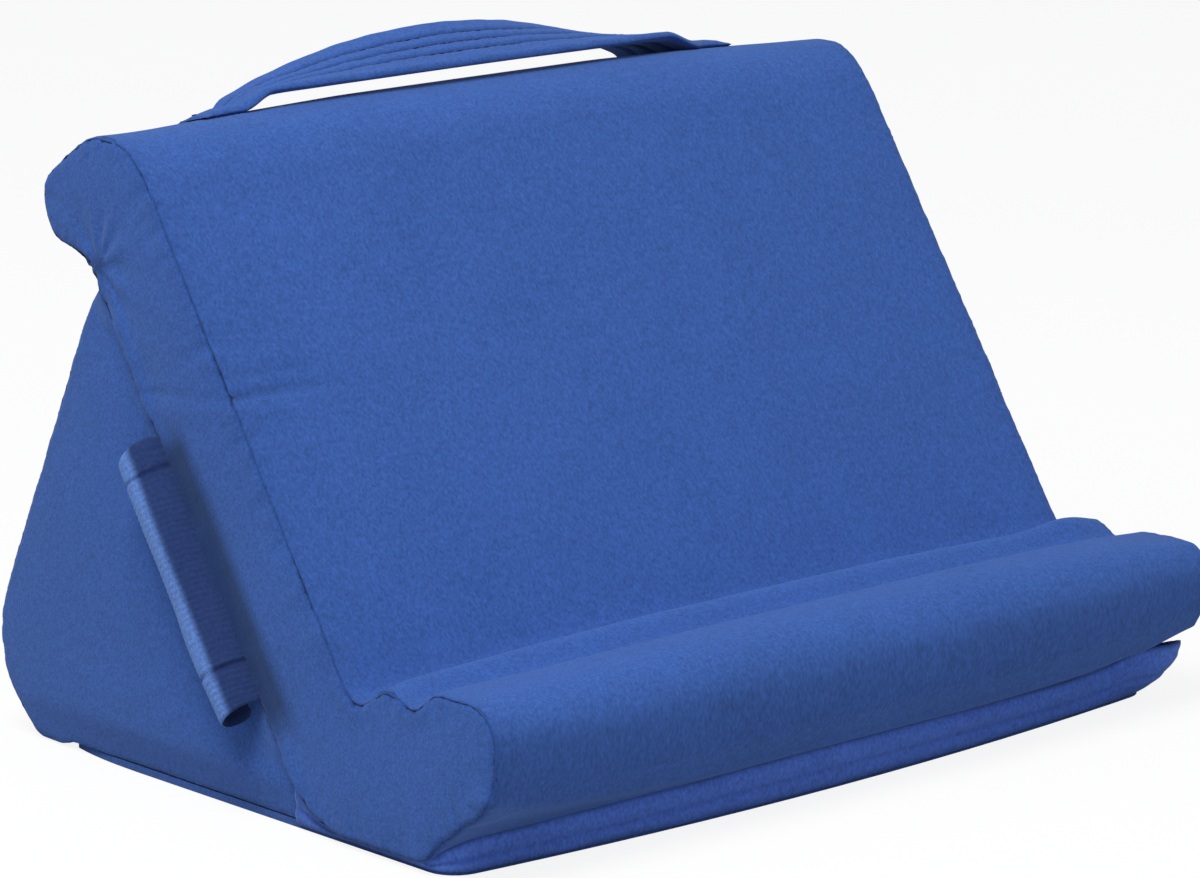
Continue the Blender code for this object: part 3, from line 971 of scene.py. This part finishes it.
def add_bottom_panel(finish):
    """The flat panel under everything, drawn in towards its rear corners over its rear half."""
    shape = merged("bottom_panel")
    for y in PANEL_CUTS:
        everything = shape.verts[:] + shape.edges[:] + shape.faces[:]
        bmesh.ops.bisect_plane(shape, geom=everything, plane_co=(0, y, 0), plane_no=(0, 1, 0))
    for v in shape.verts:
        v.co.x *= 1 - PANEL_CORNER * max(0, v.co.y / PANEL_EDGE - 0.5) ** 3 * 8
    panel = object_of("bottom_cloth", shape)
    rounding = panel.modifiers.new("rounding", "BEVEL")
    rounding.width = PANEL_ROUNDING
    rounding.segments = 3
    rounding.limit_method = "ANGLE"
    baked(panel)
    store(panel.data, "seam", np.full(len(panel.data.vertices), 0.05))
    finished(panel, finish, "bottom_plush", "bottom_panel")


def strip_path():
    """Places along the bottom panel's front edge, from the left side round to the right."""
    solid = merged("bottom_panel")
    plan = fine_outline(anticlockwise(cut_outline(solid, (0, 0, 1 * MM), (0, 0, 1))[:, :2]), STRIP_STEP)
    solid.free()
    first = next(i for i in range(len(plan)) if plan[i][1] < STRIP_SIDE_END <= plan[i - 1][1])
    plan = np.roll(plan, -first, axis=0)
    last = next(i for i in range(len(plan)) if plan[i][1] >= STRIP_SIDE_END)
    plan = plan[:last]
    along = np.gradient(plan, axis=0)
    along /= np.linalg.norm(along, axis=1, keepdims=True)
    return plan, np.column_stack([along[:, 1], -along[:, 0]])


def averaged(values, reach):
    """Values along a line, each softly averaged with this many on either side."""
    window = np.hanning(2 * reach + 1)
    return np.convolve(np.pad(values, reach, mode="edge"), window / window.sum(), "valid")


def add_front_strip(pad, finish):
    """The strip under the front roll, softly folded, from the panel's edge up to the roll's seam."""
    places, outward = strip_path()
    shares = np.linspace(0, 1, STRIP_ROWS)
    to_end = (places[:, 0] - STRIP_FLARES_FROM) / (STRIP_FLARES_TO - STRIP_FLARES_FROM)
    to_end = np.clip(to_end, 0, 1) * (places[:, 1] < STRIP_FRONT)
    flare = averaged(STRIP_FLARE + (STRIP_END_FLARE - STRIP_FLARE) * to_end, 6)
    tall = []
    for (x, y), (u, v), f in zip(places, outward, flare):
        foot = Vector((x, y, STRIP_FOOT + 1.5 * MM))
        hit, _, _, _ = pad.ray_cast(foot, Vector((u * f, v * f, 1)).normalized())
        tall.append(min(STRIP_TALLEST, (hit.z if hit else STRIP_TALLEST) - STRIP_FOOT))
    tall = np.maximum(averaged(tall, 7), STRIP_LEAST) + STRIP_TUCK
    outer, inner, dark = [], [], []
    for i, ((x, y), (u, v)) in enumerate(zip(places, outward)):
        walk = i * STRIP_STEP
        fold = STRIP_FOLD + 0.05 * waves(Vector((walk, 0, 0)), 60 * MM, 2)
        full = min(1, tall[i] / (9 * MM)) * (1 - 0.7 * min(1, max(0, (x - 100 * MM) / (25 * MM))))
        for share in shares:
            height = STRIP_FOOT + share * tall[i]
            low = min(1, share / fold)
            high = max(0, (share - fold) / (1 - fold))
            puff = LOW_PUFF * math.sin(math.pi * low) + HIGH_PUFF * math.sin(math.pi * high)
            lines = 0.2 * MM * waves(Vector((walk * 0.12, height, 0)), 2.2 * MM, 5)
            fine = 0.12 * MM * waves(Vector((walk, height * 0.5, 0)), 5 * MM, 6)
            side = STRIP_STAND_OFF + flare[i] * tall[i] * (1 - (1 - share) ** 2)
            side += full * puff + lines + fine
            outer.append((x + u * side, y + v * side, height))
            inner.append((x + u * (side - STRIP_CLOTH), y + v * (side - STRIP_CLOTH), height))
            # Painted shade: darker down the strip's fold, at its foot, at its top under the roll's
            # overhang, and round the sides that the lamp lights more.
            crease = math.exp(-((share - fold) * tall[i] / (0.6 * MM)) ** 2)
            edge = math.exp(-(share * tall[i] / (0.6 * MM)) ** 2)
            top = math.exp(-((1 - share) * tall[i] / (0.9 * MM)) ** 2)
            shade = 0.4 * min(1, max(0, (y + 84 * MM) / (20 * MM)))
            dark.append(0.25 * crease + 0.35 * edge + 0.7 * top + shade)
    count, rows = len(shares), len(places)
    faces = []
    start = rows * count
    for i in range(rows - 1):
        for j in range(count - 1):
            a, b = i * count + j, (i + 1) * count + j
            faces.append((a, b, b + 1, a + 1))
            faces.append((start + a, start + a + 1, start + b + 1, start + b))
        a, b = i * count, (i + 1) * count
        faces.append((start + a, start + b, b, a))
        faces.append((a + count - 1, b + count - 1, start + b + count - 1, start + a + count - 1))
    for j in range(count - 1):
        faces.append((start + j, j, j + 1, start + j + 1))
        k = (rows - 1) * count + j
        faces.append((k, start + k, start + k + 1, k + 1))
    strip = new_object("front_strip_cloth", outer + inner, faces)
    store(strip.data, "seam", dark + dark)
    finished(strip, finish, "front_strip_plush", "front_strip")


def tube_point(up, radius, angle):
    y, z = face_place(up, SLEEVE_OUT + radius * math.sin(angle))
    return SLEEVE_X + radius * math.cos(angle), y, z


def add_sleeve(finish):
    """An open tube of cloth with a hem at each end and a little slack, with painted sheen on its lit side
    and painted shade on the other.
    """
    sides, rows = SLEEVE_SIDES, SLEEVE_ROWS
    outer, inner, dark = [], [], []
    for i in range(rows):
        share = i / (rows - 1)
        up = SLEEVE_FROM + (SLEEVE_TO - SLEEVE_FROM) * share
        from_start = up - SLEEVE_FROM
        end = min(from_start, SLEEVE_TO - up)
        hem = sum(math.exp(-((from_start - at) / (0.6 * MM)) ** 2) for at in SLEEVE_HEMS)
        rim = math.exp(-(end / (0.5 * MM)) ** 2)
        for k in range(sides):
            angle = 2 * math.pi * k / sides
            ring = Vector((math.cos(angle), math.sin(angle), 0))
            slack = 0.3 * MM * waves(Vector((ring.x, ring.y, share * 5)), 1.1, 4)
            pulled = 0.25 * MM * waves(Vector((ring.x * 2, ring.y * 2, from_start / (5 * MM))), 1, 7) * hem
            ribs = RIB_RISE * math.sin(2 * math.pi * from_start / RIB_GAP + 1.5 * waves(ring * 3, 1, 1))
            radius = SLEEVE_RADIUS - 0.5 * MM * (2 * share - 1) ** 2 + slack + pulled + ribs
            radius -= HEM_DEPTH * hem + RIM_DEPTH * rim
            seam_side = SEAM_ALLOWANCE * max(0, math.sin(angle + 0.6)) ** 4
            slant = MOUTH_SLANT * math.sin(angle) * (1 if share > 0.5 else 0.6) * (2 * share - 1) ** 8
            outer.append(tube_point(up + slant, radius + seam_side, angle))
            inner.append(tube_point(up + slant, radius + seam_side - SLEEVE_CLOTH + 0.7 * MM * rim, angle))
            # Painted shade on the side of the tube that faces away from the light, and down along its hems.
            front = min(1, max(0, (math.radians(166) - angle) / math.radians(26)))
            front = front * front * (3 - 2 * front)
            dark.append(min(0.94, 0.86 * front + 0.3 * hem))
    faces = []
    start = rows * sides
    for i in range(rows):
        for k in range(sides):
            n = (k + 1) % sides
            a, b = i * sides + k, i * sides + n
            if i < rows - 1:
                faces.append((a, b, b + sides, a + sides))
                faces.append((start + a, start + a + sides, start + b + sides, start + b))
            else:
                faces.append((a, b, start + b, start + a))
            if i == 0:
                faces.append((b, a, start + a, start + b))
    sleeve = new_object("sleeve_cloth", outer + inner, faces)
    face_outwards(sleeve.data)
    # The inside of the tube gets painted shade.
    store(sleeve.data, "seam", dark + [0.9] * len(dark))
    finished(sleeve, finish, "sleeve_plush", "stylus_sleeve")


def strap_point(x, across, thick):
    """A point of the strap: along the width, across it to the front, and up from its top face."""
    arch = HANDLE_SPAN - 2 * HANDLE_TAB
    share = min(1, max(0, x / arch + 0.5))
    bend = max(0, math.sin(math.pi * share)) ** HANDLE_FULLNESS
    tilt = LEAN + (HANDLE_TILT - LEAN) * bend
    sink = TOP_CROWN * abs(x / (PAD_HALF - 3 * MM)) ** 3
    depth, height = face_place(FACE_LENGTH - sink + HANDLE_LIFT + HANDLE_THICK, -HANDLE_SET_BACK)
    depth -= HANDLE_FORWARD * bend
    height += HANDLE_RISE * bend
    return (
        x,
        depth - across * math.cos(tilt) + thick * math.sin(tilt),
        height + across * math.sin(tilt) + thick * math.cos(tilt),
    )


def strap_top(share):
    """Height of the strap's top face at a share across it, down in its stitched grooves."""
    half = HANDLE_WIDTH / 2
    edge = half * (1 - abs(share))
    rounding = -0.5 * HANDLE_THICK * max(0, 1 - edge / (1.6 * MM)) ** 2
    dips = sum(math.exp(-((share / 2 - g) * HANDLE_WIDTH / GROOVE_HALF) ** 2) for g in HANDLE_GROOVES)
    return rounding - GROOVE_DEPTH * dips, dips


def laid_down(x, across, pad):
    """How far the strap comes down onto the roll at a place, in its sewn ends."""
    share = min(1, max(0, (abs(x) - HANDLE_HUG) / (HANDLE_SPAN / 2 - HANDLE_TAB - HANDLE_HUG)))
    if not share:
        return Vector()
    up = Vector((0, *UP_FACE))
    under = Vector(strap_point(x, across, -HANDLE_THICK))
    hit, _, _, _ = pad.ray_cast(under + up * 30 * MM, -up)
    if not hit:
        return Vector()
    return up * ((hit - under).dot(up) + 0.1 * MM) * (share * share * (3 - 2 * share))


def add_handle(pad, finish):
    """A flat padded strap with three stitched grooves, sewn down at both ends."""
    across = np.linspace(-1, 1, HANDLE_COLUMNS)
    reach = HANDLE_SPAN / 2
    arch = reach - HANDLE_TAB
    places = [-reach + step for step in TAB_STEPS]
    places += [-arch * math.cos(math.pi * i / HANDLE_STEPS) for i in range(HANDLE_STEPS + 1)]
    places += [reach - step for step in reversed(TAB_STEPS)]
    points, dark = [], []
    for x in places:
        end = reach - abs(x)
        flat = 1 - 0.55 * math.exp(-(end / (4 * MM)) ** 2)
        for share in across:
            top, dips = strap_top(share)
            top = top * flat - HANDLE_THICK * (1 - flat)
            swell = 0.14 * MM * waves(Vector((x, share * 9 * MM, 0)), 7 * MM, 9)
            beside_groove = math.exp(-dips * 2) * (dips > 0.02)
            ripple = 0.12 * MM * math.sin(2 * math.pi * x / STITCH_GAP) * beside_groove
            across_by = share * HANDLE_WIDTH / 2
            down = laid_down(x, across_by, pad)
            points.append(Vector(strap_point(x, across_by, top + swell + ripple)) + down)
            # Painted shade down in the stitched grooves and at the strap's edges.
            dark.append(min(1, 0.75 * dips ** 2 + 0.25 * max(0, abs(share) - 0.93) / 0.07))
        for share in across[::-1]:
            low = -HANDLE_THICK - strap_top(share)[0] * 0.6
            down = laid_down(x, share * HANDLE_WIDTH / 2, pad)
            points.append(Vector(strap_point(x, share * HANDLE_WIDTH / 2, low)) + down)
            # Painted shade on the strap's underside.
            dark.append(0.35)
    count = 2 * len(across)
    faces = []
    for i in range(len(places) - 1):
        for j in range(count):
            k = (j + 1) % count
            faces.append((i * count + j, i * count + k, (i + 1) * count + k, (i + 1) * count + j))
    faces.append(tuple(range(count))[::-1])
    faces.append(tuple(range(len(points) - count, len(points))))
    strap = new_object("handle_cloth", points, faces)
    face_outwards(strap.data)
    store(strap.data, "seam", dark)
    finished(strap, finish, "handle_plush", "carry_handle")


def stitch_nodes():
    """Geometry nodes that lay one small stitch after another along each line of a mesh."""
    tree = bpy.data.node_groups.new("stitches", "GeometryNodeTree")
    tree.interface.new_socket("Lines", in_out="INPUT", socket_type="NodeSocketGeometry")
    gap = tree.interface.new_socket("Stitch gap", in_out="INPUT", socket_type="NodeSocketFloat")
    yarn = tree.interface.new_socket("Thread", in_out="INPUT", socket_type="NodeSocketMaterial")
    tree.interface.new_socket("Stitches", in_out="OUTPUT", socket_type="NodeSocketGeometry")
    given = tree.nodes.new("NodeGroupInput")
    result = tree.nodes.new("NodeGroupOutput")
    lines = tree.nodes.new("GeometryNodeMeshToCurve")
    along = tree.nodes.new("GeometryNodeCurveToPoints")
    along.mode = "LENGTH"
    bead = tree.nodes.new("GeometryNodeMeshUVSphere")
    bead.inputs["Segments"].default_value = 8
    bead.inputs["Rings"].default_value = 6
    bead.inputs["Radius"].default_value = 0.5
    laid = tree.nodes.new("GeometryNodeInstanceOnPoints")
    laid.inputs["Scale"].default_value = (STITCH_THICK * 1.5, STITCH_THICK, STITCH_LONG)
    real = tree.nodes.new("GeometryNodeRealizeInstances")
    dyed = tree.nodes.new("GeometryNodeSetMaterial")
    join = tree.links.new
    join(given.outputs["Lines"], lines.inputs["Mesh"])
    join(lines.outputs["Curve"], along.inputs["Curve"])
    join(given.outputs["Stitch gap"], along.inputs["Length"])
    join(along.outputs["Points"], laid.inputs["Points"])
    join(along.outputs["Rotation"], laid.inputs["Rotation"])
    join(bead.outputs["Mesh"], laid.inputs["Instance"])
    join(laid.outputs["Instances"], real.inputs["Geometry"])
    join(real.outputs["Geometry"], dyed.inputs["Geometry"])
    join(given.outputs["Thread"], dyed.inputs["Material"])
    join(dyed.outputs["Geometry"], result.inputs["Stitches"])
    return tree, gap.identifier, yarn.identifier


def add_stitches(name, lines, finish):
    """Rows of stitches along lines of points, as one plain mesh."""
    points, edges = [], []
    for line in lines:
        first = len(points)
        points += line
        edges += [(first + i, first + i + 1) for i in range(len(line) - 1)]
    rows = new_object(name, points, [], edges)
    tree, gap, yarn = stitch_nodes()
    sewing = rows.modifiers.new("sewing", "NODES")
    sewing.node_group = tree
    sewing[gap] = STITCH_GAP
    sewing[yarn] = finish
    baked(rows)
    rows.data.shade_smooth()
    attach(rows, "root")


def handle_rows(pad):
    reach = HANDLE_SPAN / 2 - 3 * MM
    rows = []
    for groove in HANDLE_GROOVES:
        across = groove * HANDLE_WIDTH
        rows.append([
            Vector(strap_point(x, across, 0.22 * MM - GROOVE_DEPTH)) + laid_down(x, across, pad)
            for x in np.linspace(-reach, reach, 180)
        ])
    return rows


aim_camera()
light_studio()
lay_floor()

pad = make_face_pad()
wedge = make_wedge()
pad_surface = surface_of(pad)
brushed = plush("brushed_plush", PLUSH)
combed = plush("combed_plush", PLUSH, (1, 1, 0.45))
panels = (
    (pad, 0, "pad_cover_cloth", combed, "pad_cover_plush", ("face_pad_cover", "face_pad_foam")),
    (pad, 1, "pad_end_left_cloth", brushed, "pad_end_left_plush", ("face_pad_end_left",)),
    (pad, 2, "pad_end_right_cloth", brushed, "pad_end_right_plush", ("face_pad_end_right",)),
    (wedge, 0, "wedge_back_cloth", brushed, "wedge_back_plush", ("wedge_back_cover", "wedge_foam")),
    (wedge, 1, "wedge_side_left_cloth", brushed, "wedge_side_left_plush", ("wedge_side_left",)),
    (wedge, 2, "wedge_side_right_cloth", brushed, "wedge_side_right_plush", ("wedge_side_right",)),
)
for form, kind, name, finish, slot, nodes in panels:
    panel = panel_of(form, kind, name, 0 if kind else 1 * MM)
    finished(panel, finish, slot, *nodes)
remove(pad)
remove(wedge)
add_bottom_panel(plush("edge_plush", EDGE_BLUE))
add_front_strip(pad_surface, plush("strip_plush", STRIP_BLUE_PAINTED_LIGHTER, (1, 1, 0.6)))
add_sleeve(plush("sleeve_velvet", SLEEVE_LIT_BLUE, shade_colour=SLEEVE_SHADED_BLUE))
add_handle(pad_surface, brushed)
add_stitches("handle_stitches", handle_rows(pad_surface), thread("sewing_thread", THREAD))

bpy.context.scene.view_settings.view_transform = "Standard"
